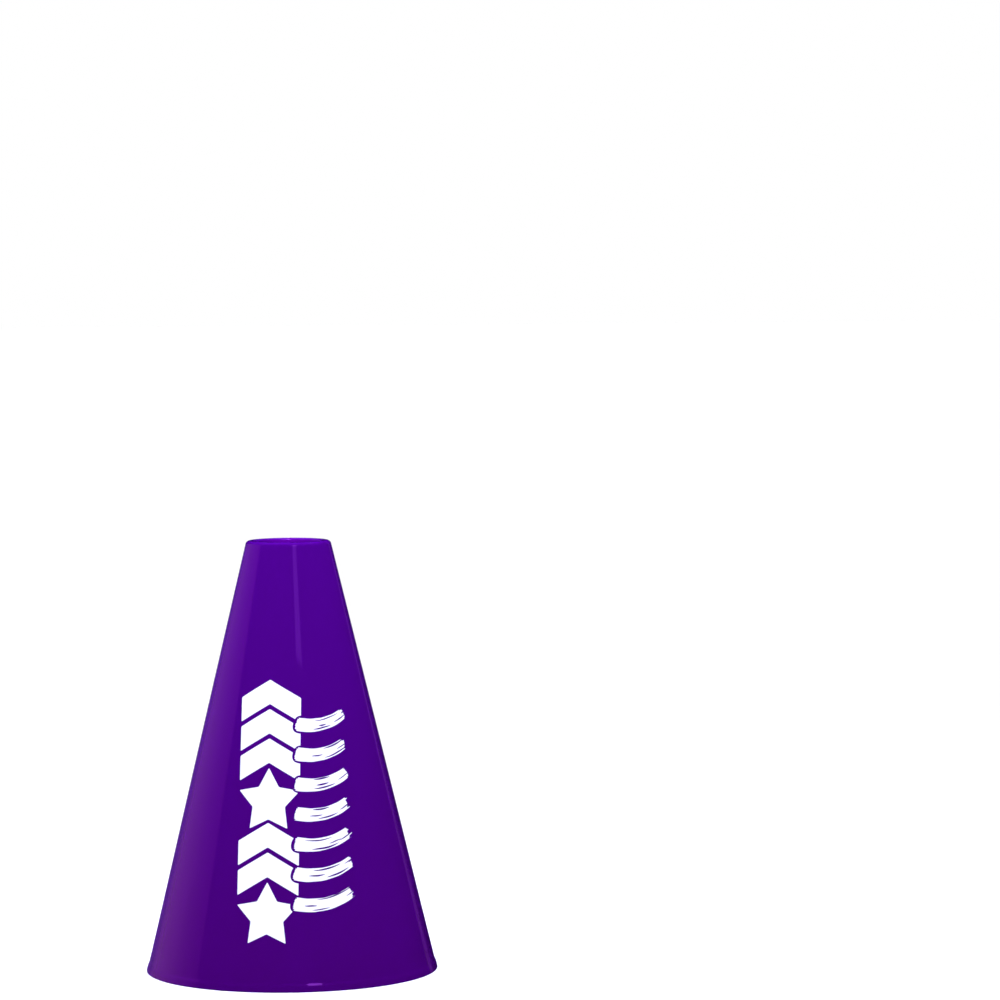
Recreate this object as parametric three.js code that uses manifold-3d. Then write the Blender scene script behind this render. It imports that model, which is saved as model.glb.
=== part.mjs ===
// Cheer megaphone: a small moulded plastic cone, open at both ends, with a one-colour print on its front.
// Millimetres, +Z up. The bell rim stands on z = 0, the cone's axis is Z, and the print faces -Y.
//
// The real object is one moulding and a print. The moulding carries its own bell bead and
// mouthpiece lip. The print is a set of separate islands of ink, one mesh for each island.

import * as THREE from "three";
import { mergeVertices } from "three/addons/utils/BufferGeometryUtils.js";
import Module from "manifold-3d";

const wasm = await Module();
wasm.setup();

const radians = THREE.MathUtils.degToRad;

// ---- Cone ----
const HEIGHT = 229;
const BELL_DIAMETER = 154.4; // of the cone's outer line at z = 0, inside the bead
const MOUTH_DIAMETER = 44.6; // of the cone's outer line at z = HEIGHT
const WALL = 1.6;
const SEGMENTS = 96; // round the axis, a multiple of 4 so that the box is symmetrical

// ---- Bell rim: a low bead that stands proud of the cone ----
const BEAD_PROUD = 0.4;
const BEAD_SIDE = 2.2; // height of the bead's straight side
const BEAD_FADE = 3.4; // height over which the bead runs out into the cone
const RIM_ROUND = 0.6; // on both edges of the flat rim

// ---- Mouthpiece lip: the wall turns in and ends in a rounded edge ----
const LIP_WIDTH = 4.4; // from the cone's outer line to the opening
const LIP_ROUND_OUT = 2.4;
const LIP_ROUND_IN = 1.2;
const LIP_DEPTH = 3; // from the top down to the end of the lip's straight throat
const LIP_BLEND = 5; // from the throat's end to the cone's inner line

// ---- Print ----
const INK = 0.3; // thickness of the film that stands for the ink
const INK_GAP = 0.3; // between the film and the cone
const OUTLINE = 1.1; // bare plastic left round a brush stroke where it crosses a block shape
const CORNER = 0.6; // rounding of the block shapes' corners
const PRINT_LEAN = radians(1.4); // the print leans to +X as it goes up
const PRINT_STEP = 5; // longest straight edge of an outline once it is laid on the cone

// Block column, from the bell up: a star and two chevrons, then a star and three chevrons.
const BLOCK_CENTRE = -13.4; // arc length from the front meridian, at the column's foot
const BLOCK_FOOT = 24.5; // height of the lowest star's feet above the rim
const BLOCK_WIDTH = 32.5;
const BLOCK_SPACE = 2.6; // bare plastic between neighbours
const STAR_FATNESS = 0.53; // radius of a star's inner corners as a share of its points' radius
const CHEVRON_ARM = 12.4; // height of a chevron's arm
const CHEVRON_RISE = 9.5; // from a chevron's feet to its notch

// Brush column: strokes like sound waves, which widen towards the bell.
const STROKE_COUNT = 7;
const STROKE_OVERLAP = 2.6; // how far the strokes' left ends reach over the block column
const STROKE_FOOT = 44; // height of the lowest stroke's middle
const STROKE_PITCH = 15.2;
const STROKE_SPAN_LOW = 34; // from end to end of the lowest stroke
const STROKE_SPAN_HIGH = 28; // from end to end of the highest stroke
const STROKE_THICK = 7.2; // at the left end
const STROKE_TAPER = 0.85; // thickness at the right end as a share of the left
const STROKE_BEND = radians(46); // angle that each stroke turns through
const STROKE_TILT = radians(9); // the right end is higher
const STROKE_STEPS = 18; // along each edge of a stroke

// ---- The cone's own lines ----
const TAPER = (BELL_DIAMETER - MOUTH_DIAMETER) / 2 / HEIGHT;
const HALF_ANGLE = Math.atan(TAPER);
const outerRadius = (z) => BELL_DIAMETER / 2 - z * TAPER;
const innerRadius = (z) => outerRadius(z) - WALL / Math.cos(HALF_ANGLE);

// ---- Materials ----
const plastic = new THREE.MeshStandardMaterial({ color: 0x48028a, roughness: 0.28, metalness: 0 });
const whiteInk = new THREE.MeshStandardMaterial({ color: 0xf7f7f5, roughness: 0.45, metalness: 0 });

// ---- Shell ----

// One closed outline of the moulding's section: x is the radius and y is the height.
function shellSection() {
  const section = new THREE.Path();
  const rimOut = outerRadius(0) + BEAD_PROUD;
  const rimIn = innerRadius(0);

  // The rim's flat face, its outer edge, the bead's side and the fade into the cone.
  section.moveTo(rimIn + RIM_ROUND, 0);
  section.lineTo(rimOut - RIM_ROUND, 0);
  section.quadraticCurveTo(rimOut, 0, outerRadius(RIM_ROUND) + BEAD_PROUD, RIM_ROUND);
  section.lineTo(outerRadius(BEAD_SIDE) + BEAD_PROUD, BEAD_SIDE);
  const fadeMiddle = BEAD_SIDE + BEAD_FADE / 2;
  const fadeEnd = BEAD_SIDE + BEAD_FADE;
  const onBead = [outerRadius(fadeMiddle) + BEAD_PROUD, fadeMiddle];
  const onCone = [outerRadius(fadeMiddle), fadeMiddle];
  section.bezierCurveTo(...onBead, ...onCone, outerRadius(fadeEnd), fadeEnd);

  // The lip: its outer rounding touches the cone and the flat top.
  const roundZ = HEIGHT - LIP_ROUND_OUT;
  const touchZ = roundZ + LIP_ROUND_OUT * Math.sin(HALF_ANGLE);
  const roundRadius = outerRadius(touchZ) - LIP_ROUND_OUT * Math.cos(HALF_ANGLE);
  section.absarc(roundRadius, roundZ, LIP_ROUND_OUT, HALF_ANGLE, Math.PI / 2, false);
  const throat = outerRadius(HEIGHT) - LIP_WIDTH;
  section.absarc(throat + LIP_ROUND_IN, HEIGHT - LIP_ROUND_IN, LIP_ROUND_IN, Math.PI / 2, Math.PI, false);

  // Down the inside: the throat, the blend, the cone's inner line and the rim's inner edge.
  const throatEnd = HEIGHT - LIP_DEPTH;
  const blendEnd = throatEnd - LIP_BLEND;
  section.lineTo(throat, throatEnd);
  section.quadraticCurveTo(throat, throatEnd - LIP_BLEND / 2, innerRadius(blendEnd), blendEnd);
  section.lineTo(innerRadius(RIM_ROUND), RIM_ROUND);
  section.quadraticCurveTo(rimIn, 0, rimIn + RIM_ROUND, 0);
  return section.getPoints(3);
}

// Turns a closed outline of radius and height round the Z axis.
function turned(outline) {
  return new THREE.LatheGeometry(outline, SEGMENTS).rotateX(Math.PI / 2);
}

// ---- Print outlines, flat: x is arc length from the front meridian, y is height above the rim ----

function roundedOutline(corners) {
  const shape = new THREE.Path();
  const towards = (from, to) => to.clone().sub(from).setLength(CORNER).add(from);
  corners.forEach((corner, i) => {
    const enter = towards(corner, corners.at(i - 1));
    const leave = towards(corner, corners[(i + 1) % corners.length]);
    if (i === 0) shape.moveTo(enter.x, enter.y);
    else shape.lineTo(enter.x, enter.y);
    shape.quadraticCurveTo(corner.x, corner.y, leave.x, leave.y);
  });
  return shape.getPoints(2);
}

// A five-pointed star with one point up, as wide as the column.
const STAR_RADIUS = BLOCK_WIDTH / 2 / Math.cos(radians(18));
const STAR_FEET_SPREAD = Math.sin(radians(36)); // from the middle to a foot, as a share of the radius
const STAR_FEET_DROP = Math.cos(radians(36)); // from the centre to the feet, as a share of the radius

function starOutline(foot) {
  const centre = foot + STAR_RADIUS * STAR_FEET_DROP;
  const corners = Array.from({ length: 10 }, (_, i) => {
    const radius = i % 2 ? STAR_RADIUS * STAR_FATNESS : STAR_RADIUS;
    const angle = radians(90 + i * 36);
    return new THREE.Vector2(BLOCK_CENTRE + radius * Math.cos(angle), centre + radius * Math.sin(angle));
  });
  return roundedOutline(corners);
}

function chevronOutline(foot) {
  const left = BLOCK_CENTRE - BLOCK_WIDTH / 2;
  const right = BLOCK_CENTRE + BLOCK_WIDTH / 2;
  const notch = foot + CHEVRON_RISE;
  return roundedOutline([
    new THREE.Vector2(left, foot),
    new THREE.Vector2(BLOCK_CENTRE, notch),
    new THREE.Vector2(right, foot),
    new THREE.Vector2(right, foot + CHEVRON_ARM),
    new THREE.Vector2(BLOCK_CENTRE, notch + CHEVRON_ARM),
    new THREE.Vector2(left, foot + CHEVRON_ARM),
  ]);
}

// The block shapes from the bell up, each with its mesh's name. A star's point stands in the notch
// of the chevron above it, and a star's feet straddle the point of the chevron below it.
function blockOutlines() {
  const outlines = [];
  let foot = BLOCK_FOOT;
  for (const [place, chevrons] of Object.entries({ lower: 2, upper: 3 })) {
    outlines.push([`print_star_${place}`, starOutline(foot)]);
    foot += STAR_RADIUS * (1 + STAR_FEET_DROP) + BLOCK_SPACE - CHEVRON_RISE;
    for (let i = 1; i <= chevrons; i++) {
      outlines.push([`print_chevron_${place}_${i}`, chevronOutline(foot)]);
      foot += CHEVRON_ARM + BLOCK_SPACE;
    }
    foot += CHEVRON_RISE * (1 - STAR_FEET_SPREAD);
  }
  return outlines;
}

// A brush stroke along part of a circle that bulges down, tilted about its middle. Its ends are
// blunt and rounded, and it thins from left to right. grow widens it on every side.
function strokeOutline(index, grow = 0) {
  const span = THREE.MathUtils.lerp(STROKE_SPAN_LOW, STROKE_SPAN_HIGH, index / (STROKE_COUNT - 1));
  const left = BLOCK_CENTRE + BLOCK_WIDTH / 2 - STROKE_OVERLAP;
  const middle = new THREE.Vector2(left + span / 2, STROKE_FOOT + index * STROKE_PITCH);
  const radius = span / 2 / Math.sin(STROKE_BEND / 2);
  const bend = STROKE_BEND + (2 * grow) / radius;
  const edge = (side) => (i) => {
    const along = -Math.cos((Math.PI * i) / STROKE_STEPS); // -1 at the left end, 1 at the right
    const blunt = Math.sqrt(1 - along ** 12);
    const thick = STROKE_THICK * THREE.MathUtils.lerp(1, STROKE_TAPER, (along + 1) / 2) + 2 * grow;
    const angle = (along * bend) / 2;
    const reach = radius + (side * blunt * thick) / 2;
    const point = new THREE.Vector2(reach * Math.sin(angle), radius - reach * Math.cos(angle));
    return point.rotateAround(new THREE.Vector2(), STROKE_TILT).add(middle);
  };
  const steps = Array.from({ length: STROKE_STEPS + 1 }, (_, i) => i);
  const above = steps.slice(1, -1).reverse();
  return [...steps.map(edge(1)), ...above.map(edge(-1))];
}

// ---- Print films: a flat outline is laid on the cone, seen from the front, and cuts the film there ----

function toSolid(geometry) {
  geometry.deleteAttribute("normal");
  geometry.deleteAttribute("uv");
  const merged = mergeVertices(geometry);
  const vertProperties = merged.attributes.position.array;
  return new wasm.Manifold(new wasm.Mesh({ numProp: 3, vertProperties, triVerts: merged.index.array }));
}

function toGeometry(solid) {
  const { vertProperties, triVerts } = solid.getMesh();
  const geometry = new THREE.BufferGeometry();
  geometry.setAttribute("position", new THREE.BufferAttribute(vertProperties, 3));
  geometry.setIndex(new THREE.BufferAttribute(triVerts, 1));
  return geometry;
}

// The radius and height of a point that stands off the cone's surface.
function offCone(height, off) {
  const out = new THREE.Vector2(Math.cos(HALF_ANGLE), Math.sin(HALF_ANGLE));
  return out.multiplyScalar(off).add(new THREE.Vector2(outerRadius(height), height));
}

// Film all over the cone, from which each island is cut.
function filmAllOver() {
  const back = (height) => offCone(height, INK_GAP);
  const face = (height) => offCone(height, INK_GAP + INK);
  return toSolid(turned([back(0), face(0), face(HEIGHT), back(HEIGHT), back(0)]));
}

// Where a flat point comes to lie on the film, seen from the front. Arc lengths are kept.
function seenFromFront(point) {
  const arc = point.x + (point.y - BLOCK_FOOT) * Math.tan(PRINT_LEAN);
  const place = offCone(point.y, INK_GAP + INK / 2);
  return new THREE.Vector2(place.x * Math.sin(arc / outerRadius(point.y)), place.y);
}

// A prism whose outline, seen from the front, is the given one once it lies on the cone. It reaches
// from the axis to well in front of the bell.
function frontPrism(outline) {
  const points = outline.flatMap((point, i) => {
    const next = outline[(i + 1) % outline.length];
    const pieces = Math.max(1, Math.ceil(point.distanceTo(next) / PRINT_STEP));
    return Array.from({ length: pieces }, (_, k) => point.clone().lerp(next, k / pieces));
  });
  const shape = new THREE.Shape(points.map(seenFromFront));
  const prism = new THREE.ExtrudeGeometry(shape, { depth: BELL_DIAMETER, bevelEnabled: false });
  return toSolid(prism.rotateX(Math.PI / 2));
}

// ---- Assembly ----

const megaphone = new THREE.Group();
const print = new THREE.Group();
megaphone.add(print);

function addMesh(parent, name, geometry, material) {
  const mesh = new THREE.Mesh(geometry, material);
  mesh.name = name;
  parent.add(mesh);
}

// A shape that the strokes cut in two prints as two islands, of which the larger keeps the name.
function addPrint(name, solid) {
  const islands = solid.decompose().sort((a, b) => b.volume() - a.volume());
  islands.forEach((island, i) => {
    addMesh(print, i ? `${name}_offcut_${i}` : name, toGeometry(island), whiteInk);
  });
}

addMesh(megaphone, "cone_shell", turned(shellSection()), plastic);

const film = filmAllOver();
const strokes = Array.from({ length: STROKE_COUNT }, (_, i) => i);
const clearings = strokes.map((i) => frontPrism(strokeOutline(i, OUTLINE)));
for (const [name, outline] of blockOutlines()) {
  const block = film.intersect(frontPrism(outline));
  addPrint(name, clearings.reduce((solid, clearing) => solid.subtract(clearing), block));
}
for (const i of strokes) {
  addPrint(`print_brush_stroke_${i + 1}`, film.intersect(frontPrism(strokeOutline(i))));
}

export default megaphone;
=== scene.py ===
import math
import random

import bpy
import numpy as np
from mathutils import Matrix, Vector, geometry


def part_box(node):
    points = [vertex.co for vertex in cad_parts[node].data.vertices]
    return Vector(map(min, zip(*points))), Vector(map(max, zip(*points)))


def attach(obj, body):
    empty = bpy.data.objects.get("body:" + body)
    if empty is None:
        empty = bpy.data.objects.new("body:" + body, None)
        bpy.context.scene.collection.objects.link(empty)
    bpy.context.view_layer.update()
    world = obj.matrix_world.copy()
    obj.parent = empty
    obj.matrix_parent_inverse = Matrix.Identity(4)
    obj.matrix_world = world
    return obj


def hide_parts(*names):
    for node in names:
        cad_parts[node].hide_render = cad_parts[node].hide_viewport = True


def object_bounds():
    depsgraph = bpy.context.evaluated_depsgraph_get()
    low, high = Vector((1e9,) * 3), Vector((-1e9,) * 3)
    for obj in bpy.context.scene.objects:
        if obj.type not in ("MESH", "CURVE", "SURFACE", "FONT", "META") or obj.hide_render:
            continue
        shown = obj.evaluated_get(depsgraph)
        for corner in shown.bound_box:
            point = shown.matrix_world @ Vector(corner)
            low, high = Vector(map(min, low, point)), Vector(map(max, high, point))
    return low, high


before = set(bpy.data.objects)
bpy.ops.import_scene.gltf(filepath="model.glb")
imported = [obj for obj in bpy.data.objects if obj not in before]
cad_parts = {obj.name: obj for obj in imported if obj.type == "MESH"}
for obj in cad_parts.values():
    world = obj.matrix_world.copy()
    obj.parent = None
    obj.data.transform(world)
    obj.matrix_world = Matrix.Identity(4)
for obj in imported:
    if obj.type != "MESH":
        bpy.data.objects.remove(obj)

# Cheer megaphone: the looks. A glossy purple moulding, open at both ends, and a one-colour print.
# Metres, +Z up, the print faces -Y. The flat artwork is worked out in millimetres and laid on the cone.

CAD_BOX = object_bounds()
MM = 0.001

# ---- Cone (mm), as in the CAD model ----
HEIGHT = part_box("cone_shell")[1].z / MM
BELL_DIAMETER = 154.4  # of the cone's outer line at the foot, inside the bead
MOUTH_DIAMETER = 44.6  # of the cone's outer line at the top
WALL = 1.6
BEAD_PROUD = 0.4
BEAD_SIDE = 2.2
BEAD_FADE = 3.4
RIM_ROUND = 0.6
LIP_WIDTH = 4.4
LIP_ROUND_OUT = 2.4
LIP_ROUND_IN = 1.2
LIP_DEPTH = 3.0
LIP_BLEND = 5.0
TAPER = (BELL_DIAMETER - MOUTH_DIAMETER) / 2 / HEIGHT
HALF_ANGLE = math.atan(TAPER)

# ---- Print (mm), as in the CAD model ----
OUTLINE = 1.1
CORNER = 0.6
PRINT_LEAN = math.radians(1.4)
BLOCK_CENTRE = -13.4
BLOCK_FOOT = 24.5
BLOCK_WIDTH = 32.5
BLOCK_SPACE = 2.6
STAR_FATNESS = 0.53
CHEVRON_ARM = 12.4
CHEVRON_RISE = 9.5
STROKE_COUNT = 7
STROKE_OVERLAP = 2.6
STROKE_FOOT = 44.0
STROKE_PITCH = 15.2
STROKE_SPAN_LOW = 34.0
STROKE_SPAN_HIGH = 28.0
STROKE_THICK = 7.2
STROKE_TAPER = 0.85
STROKE_BEND = math.radians(46)
STROKE_TILT = math.radians(9)

# ---- Fine surface ----
SEGMENTS = 360  # round the axis
INK_PROUD = 0.05  # the ink's face above the plastic
INK_SUNK = 0.05  # its hidden back below the plastic
INK_GRID = 1.6  # spacing of the points inside an island of ink
INK_STEP = 0.8  # longest edge of an island's outline
INK_CLEAR = INK_STEP * 0.6  # least distance from a grid point to an outline
BRISTLES = 9  # strands across a brush stroke
SLITS = ((-0.7, 0.9), (0.66, 0.7), (0.1, 0.4))  # place across a stroke, and usual length (a stroke has 2)


def add_object(name, data):
    item = bpy.data.objects.new(name, data)
    bpy.context.scene.collection.objects.link(item)
    return item


# ---- Camera ----
def add_camera():
    distance, height = 2.2, 0.36817
    pan, tilt, roll = math.radians(2.9338), math.radians(3.0901), math.radians(-0.3874)
    forward = Vector((math.sin(pan) * math.cos(tilt), math.cos(pan) * math.cos(tilt), -math.sin(tilt)))
    level = Vector((math.cos(pan), -math.sin(pan), 0))
    upright = level.cross(forward)
    right = level * math.cos(roll) + upright * math.sin(roll)
    up = upright * math.cos(roll) - level * math.sin(roll)
    data = bpy.data.cameras.new("camera")
    data.lens = 149.195
    data.sensor_width = 36
    data.clip_end = 50
    camera = add_object("camera", data)
    camera.matrix_world = Matrix((right, up, -forward)).transposed().to_4x4()
    camera.location = (0, -distance, height)
    bpy.context.scene.camera = camera


# ---- Meshes ----
def add_piece(name, points, faces, material, slot, *nodes):
    """A visible piece that stands for nodes of the CAD model."""
    mesh = bpy.data.meshes.new(name)
    mesh.from_pydata([tuple(p) for p in points], [], faces)
    mesh.validate()
    mesh.shade_smooth()
    mesh.set_sharp_from_angle(angle=math.radians(40))
    mesh.materials.append(material)
    piece = add_object(name, mesh)
    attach(piece, "root")
    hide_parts(*nodes)


# ---- Shell ----
def outer_radius(z):
    return BELL_DIAMETER / 2 - z * TAPER


def inner_radius(z):
    return outer_radius(z) - WALL / math.cos(HALF_ANGLE)


def curve(points, steps):
    """A Bezier curve's points, without the last one."""
    found = []
    for i in range(steps):
        row = [Vector(p) for p in points]
        while len(row) > 1:
            row = [a.lerp(b, i / steps) for a, b in zip(row, row[1:])]
        found.append(row[0])
    return found


def straight(start, end, steps):
    """A line's points, close together near both ends, without the last one."""
    shares = [(1 - math.cos(math.pi * i / steps)) / 2 for i in range(steps)]
    return [Vector(start).lerp(Vector(end), share) for share in shares]


def arc(centre, radius, start, end, steps):
    """A circular arc's points, without the last one."""
    angles = [start + (end - start) * i / steps for i in range(steps)]
    return [Vector((centre[0] + radius * math.cos(a), centre[1] + radius * math.sin(a))) for a in angles]


def shell_section():
    """The moulding's closed section: radius and height. Each stretch ends with its number of steps."""
    rim_out = outer_radius(0) + BEAD_PROUD
    rim_in = inner_radius(0)
    bead_foot = (outer_radius(RIM_ROUND) + BEAD_PROUD, RIM_ROUND)
    bead_top = (outer_radius(BEAD_SIDE) + BEAD_PROUD, BEAD_SIDE)
    fade_middle = BEAD_SIDE + BEAD_FADE / 2
    fade_end = (outer_radius(BEAD_SIDE + BEAD_FADE), BEAD_SIDE + BEAD_FADE)
    on_bead = (outer_radius(fade_middle) + BEAD_PROUD, fade_middle)
    on_cone = (outer_radius(fade_middle), fade_middle)
    round_z = HEIGHT - LIP_ROUND_OUT
    touch_z = round_z + LIP_ROUND_OUT * math.sin(HALF_ANGLE)
    round_radius = outer_radius(touch_z) - LIP_ROUND_OUT * math.cos(HALF_ANGLE)
    throat = outer_radius(HEIGHT) - LIP_WIDTH
    throat_end = HEIGHT - LIP_DEPTH
    blend_end = (inner_radius(throat_end - LIP_BLEND), throat_end - LIP_BLEND)
    blend_middle = (throat, throat_end - LIP_BLEND / 2)
    inner_foot = (inner_radius(RIM_ROUND), RIM_ROUND)
    flat_in, flat_out = (rim_in + RIM_ROUND, 0), (rim_out - RIM_ROUND, 0)
    section = [
        *straight(flat_in, flat_out, 3),
        *curve([flat_out, (rim_out, 0), bead_foot], 6),
        *straight(bead_foot, bead_top, 4),
        *curve([bead_top, on_bead, on_cone, fade_end], 14),
        *straight(fade_end, (outer_radius(touch_z), touch_z), 26),
        *arc((round_radius, round_z), LIP_ROUND_OUT, HALF_ANGLE, math.pi / 2, 12),
        *straight((round_radius, HEIGHT), (throat + LIP_ROUND_IN, HEIGHT), 3),
        *arc((throat + LIP_ROUND_IN, HEIGHT - LIP_ROUND_IN), LIP_ROUND_IN, math.pi / 2, math.pi, 8),
        *straight((throat, HEIGHT - LIP_ROUND_IN), (throat, throat_end), 3),
        *curve([(throat, throat_end), blend_middle, blend_end], 8),
        *straight(blend_end, inner_foot, 26),
        *curve([inner_foot, (rim_in, 0), flat_in], 6),
    ]
    # The bead's fine curve stays within the CAD model's box.
    widest = CAD_BOX[1].x / MM
    return [(min(r, widest), z) for r, z in section]


def add_shell(material):
    section = shell_section()
    count = len(section)
    turns = [2 * math.pi * i / SEGMENTS for i in range(SEGMENTS)]
    points = [(r * math.sin(t) * MM, -r * math.cos(t) * MM, z * MM) for t in turns for r, z in section]
    faces = []
    for i in range(SEGMENTS):
        here, there = i * count, (i + 1) % SEGMENTS * count
        for j in range(count):
            k = (j + 1) % count
            faces.append((here + j, there + j, there + k, here + k))
    add_piece("megaphone_shell", points, faces, material, "purple_plastic", "cone_shell")


# ---- Print outlines, flat: x is arc length from the front meridian, y is height ----
def rounded_outline(corners):
    """The outline with every corner rounded."""
    outline = []
    for i, corner in enumerate(corners):
        before = corners[i - 1] - corner
        after = corners[(i + 1) % len(corners)] - corner
        enter = corner + before.normalized() * CORNER
        leave = corner + after.normalized() * CORNER
        outline += [*curve([enter, corner, leave], 4), leave]
    return outline


STAR_RADIUS = BLOCK_WIDTH / 2 / math.cos(math.radians(18))


def star_outline(foot):
    """A five-pointed star with one point up, as wide as the column."""
    centre = foot + STAR_RADIUS * math.cos(math.radians(36))
    corners = []
    for i in range(10):
        radius = STAR_RADIUS * STAR_FATNESS if i % 2 else STAR_RADIUS
        angle = math.radians(90 + i * 36)
        corners.append(Vector((BLOCK_CENTRE + radius * math.cos(angle), centre + radius * math.sin(angle))))
    return rounded_outline(corners)


def chevron_outline(foot):
    left, right = BLOCK_CENTRE - BLOCK_WIDTH / 2, BLOCK_CENTRE + BLOCK_WIDTH / 2
    low = [Vector((left, foot)), Vector((BLOCK_CENTRE, foot + CHEVRON_RISE)), Vector((right, foot))]
    high = [p + Vector((0, CHEVRON_ARM)) for p in reversed(low)]
    return rounded_outline(low + high)


def block_outlines():
    """{name: outline} of the block shapes, from the bell up."""
    outlines, foot = {}, BLOCK_FOOT
    for place, chevrons in (("lower", 2), ("upper", 3)):
        outlines[f"star_{place}"] = star_outline(foot)
        foot += STAR_RADIUS * (1 + math.cos(math.radians(36))) + BLOCK_SPACE - CHEVRON_RISE
        for i in range(chevrons):
            outlines[f"chevron_{place}_{i + 1}"] = chevron_outline(foot)
            foot += CHEVRON_ARM + BLOCK_SPACE
        foot += CHEVRON_RISE * (1 - math.sin(math.radians(36)))
    return outlines


def mix(a, b, share):
    return a + (b - a) * share


def stroke_point(index, along, across, grow=0.0):
    """A point of a brush stroke: along runs from -1 to 1 rightwards, across from -1 to 1 downwards."""
    span = mix(STROKE_SPAN_LOW, STROKE_SPAN_HIGH, index / (STROKE_COUNT - 1))
    left = BLOCK_CENTRE + BLOCK_WIDTH / 2 - STROKE_OVERLAP
    middle = Vector((left + span / 2, STROKE_FOOT + index * STROKE_PITCH))
    radius = span / 2 / math.sin(STROKE_BEND / 2)
    angle = along * (STROKE_BEND / 2 + grow / radius)
    thick = STROKE_THICK * mix(1, STROKE_TAPER, (along + 1) / 2) + 2 * grow
    reach = radius + across * thick / 2
    point = Vector((reach * math.sin(angle), radius - reach * math.cos(angle)))
    return Matrix.Rotation(STROKE_TILT, 2) @ point + middle


def bluntness(along):
    """A stroke's width, as a share of its full width, where its ends are rounded off."""
    return math.sqrt(1 - abs(along) ** 12)


def clearing_outline(index):
    """The stroke's plain outline, grown by the bare plastic round it."""
    steps = 40
    shares = [-math.cos(math.pi * i / steps) for i in range(steps + 1)]
    below = [stroke_point(index, a, bluntness(a), OUTLINE) for a in shares]
    above = [stroke_point(index, a, -bluntness(a), OUTLINE) for a in shares[-2:0:-1]]
    return below + above


def ragged_end(draw, index, end, roughness):
    """A stroke's end as its bristles leave it, from the lower edge up."""
    # Neighbouring bristles mostly end at nearly the same place.
    tips = []
    step = draw.uniform(0, roughness)
    for k in range(BRISTLES):
        middle = 1 - (2 * k + 1) / BRISTLES
        if draw.random() < 0.45:
            step = draw.uniform(0, roughness)
        tips.append(1 - 0.09 * abs(middle) ** 4 - step - draw.uniform(0, 0.012))
    outline = []
    for k, tip in enumerate(tips):
        low, high = 1 - 2 * k / BRISTLES, 1 - 2 * (k + 1) / BRISTLES
        if k:
            outline.append((min(tip, tips[k - 1]) - draw.uniform(0.004, 0.03), low))
        outline.append((tip - 0.01, mix(low, high, 0.25)))
        outline.append((tip, mix(low, high, draw.uniform(0.4, 0.6))))
        outline.append((tip - 0.012, mix(low, high, 0.8)))
    return [stroke_point(index, end * a, v) for a, v in outline]


def wavy_edge(draw, index, side):
    """A stroke's long edge, from left to right."""
    waves = [(draw.uniform(2, 5), draw.uniform(0, 6.28)), (draw.uniform(8, 14), draw.uniform(0, 6.28))]
    steps = 40
    outline = []
    for i in range(steps + 1):
        along = mix(-0.93, 0.92, i / steps)
        wave = sum(math.sin(rate * along + phase) for rate, phase in waves) / 2
        width = (0.97 + 0.03 * wave) * mix(0.8, 1, bluntness(along))
        outline.append(stroke_point(index, along, side * width))
    return outline


def sliver(draw, index, start, end, across, half_width):
    """A thin pointed outline along a stroke, for a slit that a bristle left dry."""
    steps = 14
    drift = draw.uniform(-0.03, 0.03)
    edges = []
    for side in (1, -1):
        for i in range(steps):
            share = i / steps
            along = mix(start, end, share) if side > 0 else mix(end, start, share)
            width = half_width * math.sin(math.pi * share) ** 0.7
            centre = across + drift * math.sin(2.5 * math.pi * (along - start) / (end - start))
            edges.append(stroke_point(index, along, centre + side * width))
    return edges


# ---- Ink ----
def inside(points, outline):
    """For each of the points, whether the outline goes round it."""
    a = np.array([tuple(p) for p in outline])
    b = np.roll(a, -1, 0)
    x, y = points[:, :1], points[:, 1:]
    spans = (a[:, 1] > y) != (b[:, 1] > y)
    rise = np.where(b[:, 1] == a[:, 1], 1, b[:, 1] - a[:, 1])
    crossing = a[:, 0] + (y - a[:, 1]) * (b[:, 0] - a[:, 0]) / rise
    return (spans & (x < crossing)).sum(1) % 2 == 1


def stepped(outline):
    """The outline with its long edges divided."""
    found = []
    for a, b in zip(outline, outline[1:] + outline[:1]):
        pieces = max(1, math.ceil((b - a).length / INK_STEP))
        found += [a.lerp(b, i / pieces) for i in range(pieces)]
    return found


def on_cone(x, y, off):
    """Where a point of the flat artwork lies on the cone, off its surface."""
    arc_length = x + (y - BLOCK_FOOT) * math.tan(PRINT_LEAN)
    turn = arc_length / outer_radius(y)
    radius = outer_radius(y) + off * math.cos(HALF_ANGLE)
    height = y + off * math.sin(HALF_ANGLE)
    return radius * math.sin(turn) * MM, -radius * math.cos(turn) * MM, height * MM


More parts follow.
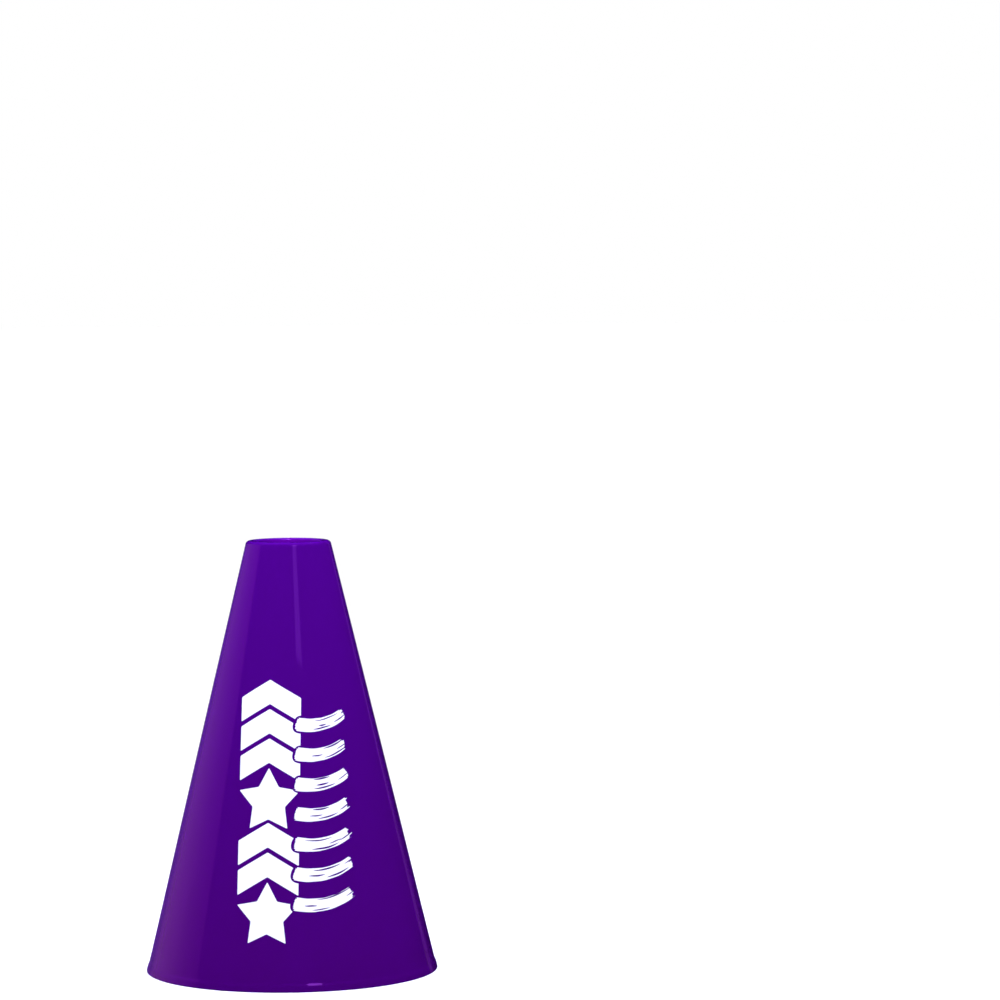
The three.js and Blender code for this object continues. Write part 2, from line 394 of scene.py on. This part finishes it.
def add_ink(name, island, cuts, material):
    """A thin closed piece of ink: what the island covers and the cuts don't."""
    outlines = [stepped(o) for o in [island, *cuts]]
    island_points = np.array([tuple(p) for p in outlines[0]])
    low, high = island_points.min(0), island_points.max(0)
    points, edges = [], []
    for outline in outlines:
        start = len(points)
        points += outline
        edges += [(start + i, start + (i + 1) % len(outline)) for i in range(len(outline))]

    # Grid points across the island, as the corners of nearly equilateral triangles.
    grid = []
    row_height = INK_GRID * 0.87
    for row, y in enumerate(np.arange(low[1], high[1], row_height)):
        for x in np.arange(low[0] + (row % 2) * INK_GRID / 2, high[0], INK_GRID):
            grid.append((x, y))
    grid = np.array(grid)
    border = np.array([tuple(p) for p in points])
    clear = (np.abs(grid[:, None] - border[None]) ** 2).sum(2).min(1) > INK_CLEAR**2
    points += [Vector(p) for p in grid[clear]]
    tolerance = 1e-6
    found, _, triangles, *_ = geometry.delaunay_2d_cdt(points, edges, [], 0, tolerance)
    flat = np.array([tuple(p) for p in found])
    triangles = np.array(triangles)
    middles = flat[triangles].mean(1)
    kept = inside(middles, island)
    for cut in cuts:
        kept &= ~inside(middles, cut)
    triangles = triangles[kept]
    used, triangles = np.unique(triangles, return_inverse=True)
    triangles = triangles.reshape(-1, 3)
    flat = flat[used]
    count = len(flat)
    top = [on_cone(x, y, INK_PROUD) for x, y in flat]
    bottom = [on_cone(x, y, -INK_SUNK) for x, y in flat]

    # The sides stand on the edges that belong to one triangle only.
    sides = {}
    for a, b, c in triangles:
        for pair in ((a, b), (b, c), (c, a)):
            if pair[::-1] in sides:
                del sides[pair[::-1]]
            else:
                sides[pair] = True
    faces = [tuple(int(i) for i in t) for t in triangles]
    faces += [tuple(int(i) + count for i in reversed(t)) for t in triangles]
    faces += [(int(b), int(a), int(a) + count, int(b) + count) for a, b in sides]
    add_piece(f"ink_{name}", top + bottom, faces, material, "white_ink", f"print_{name}")


def add_print(material):
    clearings = [clearing_outline(i) for i in range(STROKE_COUNT)]
    for name, outline in block_outlines().items():
        low, high = min(p.y for p in outline), max(p.y for p in outline)
        near = [c for c in clearings if max(p.y for p in c) > low and min(p.y for p in c) < high]
        add_ink(name, outline, near, material)
    for i in range(STROKE_COUNT):
        draw = random.Random(f"stroke {i}")
        lower, upper = wavy_edge(draw, i, 1), wavy_edge(draw, i, -1)
        right, left = ragged_end(draw, i, 1, 0.13), ragged_end(draw, i, -1, 0.03)
        body = lower + right + upper[::-1] + left[::-1]

        # Long slits, open where they reach the stroke's right end, and a short one that always does.
        slits = []
        for across, reach in SLITS:
            start = draw.uniform(-0.7, 0.2)
            end = start + draw.uniform(0.7, 1.3) * reach
            if end > 0.8:
                end = 1.05
            place = across + draw.uniform(-0.13, 0.13)
            slits.append(sliver(draw, i, start, end, place, draw.uniform(0.09, 0.14)))
        across = draw.uniform(-0.3, 0.4)
        slits.append(sliver(draw, i, draw.uniform(0.45, 0.7), 1.06, across, draw.uniform(0.08, 0.12)))
        add_ink(f"brush_stroke_{i + 1}", body, slits, material)


# ---- Materials ----
class Nodes:
    """Makes the nodes of one material."""

    def __init__(self, name):
        self.material = bpy.data.materials.new(name)
        self.material.use_nodes = True
        self.tree = self.material.node_tree
        self.shader = self.tree.nodes["Principled BSDF"]
        self.place = self.add("ShaderNodeTexCoord").outputs["Object"]

    def add(self, kind, inputs=None, **settings):
        node = self.tree.nodes.new(kind)
        for name, value in settings.items():
            setattr(node, name, value)
        for name, value in (inputs or {}).items():
            self.set(node.inputs[name], value)
        return node

    def set(self, socket, value):
        if isinstance(value, bpy.types.NodeSocket):
            self.tree.links.new(value, socket)
        else:
            socket.default_value = value

    def noise(self, scale, detail=2.0, stretch=(1, 1, 1), turn=(0, 0, 0)):
        mapping = {"Vector": self.place, "Rotation": turn, "Scale": stretch}
        place = self.add("ShaderNodeMapping", mapping).outputs[0]
        grain = {"Vector": place, "Scale": scale, "Detail": detail}
        return self.add("ShaderNodeTexNoise", grain).outputs["Fac"]

    def range(self, value, low, high, to_low, to_high):
        """value, from low to high, turned into a number from to_low to to_high."""
        names = {"Value": value, "From Min": low, "From Max": high, "To Min": to_low, "To Max": to_high}
        return self.add("ShaderNodeMapRange", names).outputs["Result"]

    def math(self, operation, a, b):
        return self.add("ShaderNodeMath", {0: a, 1: b}, operation=operation).outputs[0]

    def blend(self, share, a, b):
        """Colour a where the share is 0 and b where it is 1."""
        # A Mix node repeats its socket names, so its colour sockets go by number.
        node = self.add("ShaderNodeMix", data_type="RGBA")
        self.set(node.inputs[0], share)
        self.set(node.inputs[6], a)
        self.set(node.inputs[7], b)
        return node.outputs[2]

    def bump(self, height, distance, strength):
        values = {"Height": height, "Distance": distance, "Strength": strength}
        return self.add("ShaderNodeBump", values).outputs["Normal"]


def purple_plastic():
    make = Nodes("purple_plastic")
    shader = make.shader
    height = make.add("ShaderNodeSeparateXYZ", {0: make.place}).outputs["Z"]

    # Painted shade and light: the colour is darker towards the bell and lighter towards the mouth, standing
    # in for the overhead light falling off down the cone. Faint flow marks run along the cone.
    painted_shade_at_bell = (0.052, 0.0006, 0.124, 1)
    painted_light_at_mouth = (0.0572, 0.0008, 0.165, 1)
    rise = make.range(height, 0.01, 0.14, 0.1, 0.95)
    flow = make.range(make.noise(22, 3, (1, 1, 0.45)), 0.3, 0.7, -0.1, 0.1)
    colour = make.blend(make.math("ADD", rise, flow), painted_shade_at_bell, painted_light_at_mouth)

    # Wear on the face that the cone stands on and on top of the lip.
    worn = (0.1, 0.02, 0.25, 1)
    rim = make.range(height, 0.0008, 0.0001, 0, 1)
    lip = make.range(height, HEIGHT * MM - 0.0012, HEIGHT * MM, 0, 0.6)
    patches = make.range(make.noise(300, 4), 0.48, 0.7, 0, 1)
    wear = make.math("MULTIPLY", make.math("MAXIMUM", rim, lip), patches)
    colour = make.blend(make.math("MULTIPLY", wear, 0.25), colour, worn)
    make.set(shader.inputs["Base Color"], colour)

    # Handling marks: short fine scratches that run two ways, and duller smears.
    one_way = make.range(make.noise(1, 1, (60, 60, 2600), (0, 0.7, 0.3)), 0.66, 0.72, 0, 1)
    other_way = make.range(make.noise(1, 1, (2400, 2400, 50), (0.3, 0.25, 0)), 0.7, 0.76, 0, 1)
    handled = make.range(make.noise(35), 0.5, 0.62, 0, 1)
    scratches = make.math("MULTIPLY", make.math("MAXIMUM", one_way, other_way), handled)
    smears = make.range(make.noise(70, 4), 0.35, 0.7, 0.0, 0.03)
    polish = 0.035
    roughness = make.math("ADD", make.math("MULTIPLY", scratches, 0.06), make.math("ADD", smears, polish))
    roughness = make.math("ADD", roughness, make.math("MULTIPLY", wear, 0.2))
    make.set(shader.inputs["Roughness"], roughness)

    # A fine grain, and reflections that are tinted where they are seen face on.
    make.set(shader.inputs["Normal"], make.bump(make.noise(700, 2), 0.00001, 0.25))
    shader.inputs["IOR"].default_value = 1.5
    shader.inputs["Specular Tint"].default_value = (0.6, 0.1, 1, 1)
    return make.material


def white_ink():
    make = Nodes("white_ink")
    shader = make.shader
    thin = (0.93, 0.93, 0.925, 1)
    full = (0.96, 0.96, 0.955, 1)
    cover = make.range(make.noise(120, 4), 0.3, 0.7, 0, 1)
    make.set(shader.inputs["Base Color"], make.blend(cover, thin, full))
    make.set(shader.inputs["Roughness"], make.range(make.noise(400, 3), 0.3, 0.7, 0.38, 0.5))
    make.set(shader.inputs["Normal"], make.bump(make.noise(1800, 2), 0.00002, 0.4))
    shader.inputs["IOR"].default_value = 1.5
    return make.material


def floor_white():
    make = Nodes("floor_white")
    make.set(make.shader.inputs["Base Color"], (0.99, 0.99, 0.99, 1))
    make.set(make.shader.inputs["Roughness"], 0.9)
    make.shader.inputs["Specular IOR Level"].default_value = 0.0
    return make.material


# ---- Studio ----
def add_floor():
    far = 30
    corners = [(-far, -far, 0), (far, -far, 0), (far, far, 0), (-far, far, 0)]
    mesh = bpy.data.meshes.new("floor")
    mesh.from_pydata(corners, [], [(0, 1, 2, 3)])
    mesh.materials.append(floor_white())
    floor = add_object("floor", mesh)
    floor.visible_glossy = False


def add_light(name, size, radiance, place, along, facing, mirrored=True):
    """A rectangular area light: its first side runs along a direction, and its face looks along facing.

    A mirrored light only shows in reflections. Any other only lights the surfaces.
    """
    data = bpy.data.lights.new(name, "AREA")
    data.shape = "RECTANGLE"
    data.size, data.size_y = size
    strongest = max(radiance)
    data.color = [c / strongest for c in radiance]
    data.energy = strongest * math.pi * size[0] * size[1]
    light = add_object(name, data)
    facing = Vector(facing).normalized()
    along = (Vector(along) - Vector(along).dot(facing) * facing).normalized()
    light.matrix_world = Matrix((along, facing.cross(along) * -1, -facing)).transposed().to_4x4()
    light.location = place
    light.visible_camera = False
    light.visible_glossy = mirrored
    light.visible_diffuse = not mirrored
    return data


def add_falloff(light, front, back):
    """Turns a softbox from one colour to another towards its back, and dims its front edge.

    The front edge is dimmest low down.
    """
    light.use_nodes = True
    tree = light.node_tree
    place = tree.nodes.new("ShaderNodeSeparateXYZ")
    tree.links.new(tree.nodes.new("ShaderNodeNewGeometry").outputs["Position"], place.inputs[0])

    def ramp(axis, low, high, to_low, to_high):
        node = tree.nodes.new("ShaderNodeMapRange")
        values = {"From Min": low, "From Max": high, "To Min": to_low, "To Max": to_high}
        for name, number in values.items():
            node.inputs[name].default_value = number
        tree.links.new(place.outputs[axis], node.inputs["Value"])
        return node

    colour = tree.nodes.new("ShaderNodeMix")
    colour.data_type = "RGBA"
    colour.inputs[6].default_value = (*front, 1)
    colour.inputs[7].default_value = (*back, 1)
    tree.links.new(ramp("Y", 0, 0.9, 0, 1).outputs["Result"], colour.inputs[0])
    strength = ramp("Y", -0.1, 0.16, 0, 1)
    tree.links.new(ramp("Z", 0.1, 0.33, 0.5, 0.85).outputs["Result"], strength.inputs["To Min"])
    tree.links.new(colour.outputs[2], tree.nodes["Emission"].inputs["Color"])
    tree.links.new(strength.outputs["Result"], tree.nodes["Emission"].inputs["Strength"])


def add_throat_light():
    """A narrow beam over the front of the lip, into the back of the throat."""
    target = Vector((0.002, 0.0175, 0.2265))
    away = Vector((0, -0.766, 0.643))
    distance = 0.8
    data = bpy.data.lights.new("throat", "SPOT")
    data.energy = 46
    data.spot_size = math.radians(3.2)
    data.spot_blend = 1
    data.shadow_soft_size = 0.002
    light = add_object("throat", data)
    light.location = target + away * distance
    light.rotation_euler = away.to_track_quat("Z", "Y").to_euler()


def add_world():
    """White for the camera, black for everything else."""
    world = bpy.data.worlds.new("world")
    bpy.context.scene.world = world
    world.use_nodes = True
    tree = world.node_tree
    seen = tree.nodes.new("ShaderNodeLightPath").outputs["Is Camera Ray"]
    tree.links.new(seen, tree.nodes["Background"].inputs["Strength"])
    tree.nodes["Background"].inputs["Color"].default_value = (1, 1, 1, 1)


def add_sky():
    """Even light from a wide patch of sky overhead, which the plastic doesn't mirror."""
    data = bpy.data.lights.new("sky", "SUN")
    data.energy = 3.2
    data.angle = math.radians(92)
    light = add_object("sky", data)
    light.visible_glossy = False


def add_lights():
    add_world()
    add_sky()

    # Softbox on the left, mirrored in the cone's left flank.
    length, width = 1.2, 3
    edge = Vector((0, 0.13, 1)).normalized()
    centre = Vector((-0.52, -0.07 + width / 2, 0.36)) - edge * length / 2
    left = add_light("left", (length, width), (1, 1, 1), centre, edge, (1, 0, 0))
    add_falloff(left, (0.85, 0.25, 0.8), (0.14, 0.045, 0.33))

    # Tall narrow softbox in front, mirrored as the streak below the lip.
    add_light("front", (0.09, 0.4), (1.3, 1.3, 1.6), (0.143, -0.5, 0.557), (1, 0, 0), (0, 1, 0))

    # Lamp high in front, mirrored as a spark where the bead runs out into the cone.
    lamp = Vector((0.71, -2, 1.85))
    add_light("lamp", (0.5, 0.8), (5, 5, 6), lamp, (2, 0.71, 0), -lamp.normalized())

    # Thin strip behind on the right, mirrored as a line near the cone's right outline.
    strip = Vector((0.643, 0.766, 0))
    place = strip + Vector((0, 0, 0.3))
    add_light("right", (0.12, 0.8), (0.17, 0.04, 0.24), place, (0.766, -0.643, 0), -strip)

    # Overhead light: it makes the top brighter than the foot.
    overhead = (0, 0, 0.45)
    add_light("overhead", (0.6, 0.6), (2.6, 2.6, 4.5), overhead, (1, 0, 0), (0, 0, -1), mirrored=False)
    add_throat_light()


# ---- Assembly ----
scene = bpy.context.scene
scene.view_settings.view_transform = "Standard"
add_camera()
add_shell(purple_plastic())
add_print(white_ink())
add_floor()
add_lights()
